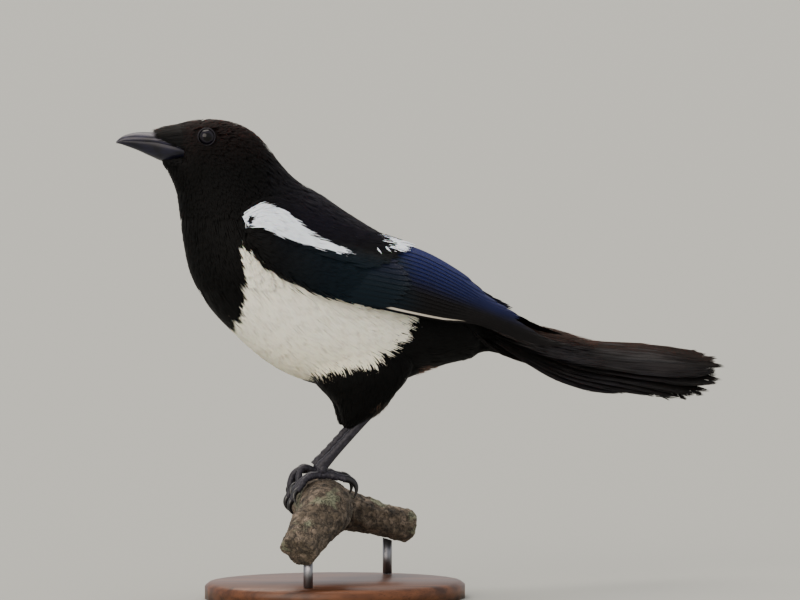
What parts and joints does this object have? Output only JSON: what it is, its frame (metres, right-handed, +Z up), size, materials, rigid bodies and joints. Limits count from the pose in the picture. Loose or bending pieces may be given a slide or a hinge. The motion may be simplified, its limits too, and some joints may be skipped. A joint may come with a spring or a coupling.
{
  "type": "eurasian magpie",
  "caption": "Life-size magpie with a long tail, gripping a cut length of branch that two short rods hold over an oval display base.",
  "frame": {"origin": "centre of the underside of the oval base", "axes": "+Z up, -X towards the head, -Y towards the bird's left side"},
  "size_m": [0.3496, 0.1444, 0.2637],
  "materials": {
    "black_plumage": "soft feathers with a faint gloss",
    "white_plumage": "soft matte feathers",
    "wing_feathers": "stiff feathers with a blue and green gloss",
    "tail_feathers": "stiff feathers with a bronze and purple gloss",
    "horn": "satin horn and scales",
    "eye": "wet gloss",
    "bark": "rough dry bark",
    "stand_wood": "satin varnish",
    "stand_metal": "brushed"
  },
  "bodies": {
    "root": {"head": "black_plumage", "neck": "black_plumage", "torso": "white_plumage", "tail": "tail_feathers", "wing_l": "wing_feathers", "wing_r": "wing_feathers", "thigh_l": "black_plumage", "thigh_r": "black_plumage", "bill_upper": "horn", "bill_lower": "horn", "eye_l": "eye", "eye_r": "eye", "shank_l": "horn", "shank_r": "horn", "foot_l": "horn", "foot_r": "horn", "claw_l_hallux": "horn", "claw_l_inner": "horn", "claw_l_middle": "horn", "claw_l_outer": "horn", "claw_r_hallux": "horn", "claw_r_inner": "horn", "claw_r_middle": "horn", "claw_r_outer": "horn", "perch": "bark", "stand_base": "stand_wood", "stand_rod_1": "stand_metal", "stand_rod_2": "stand_metal"}
  },
  "joints": []
}
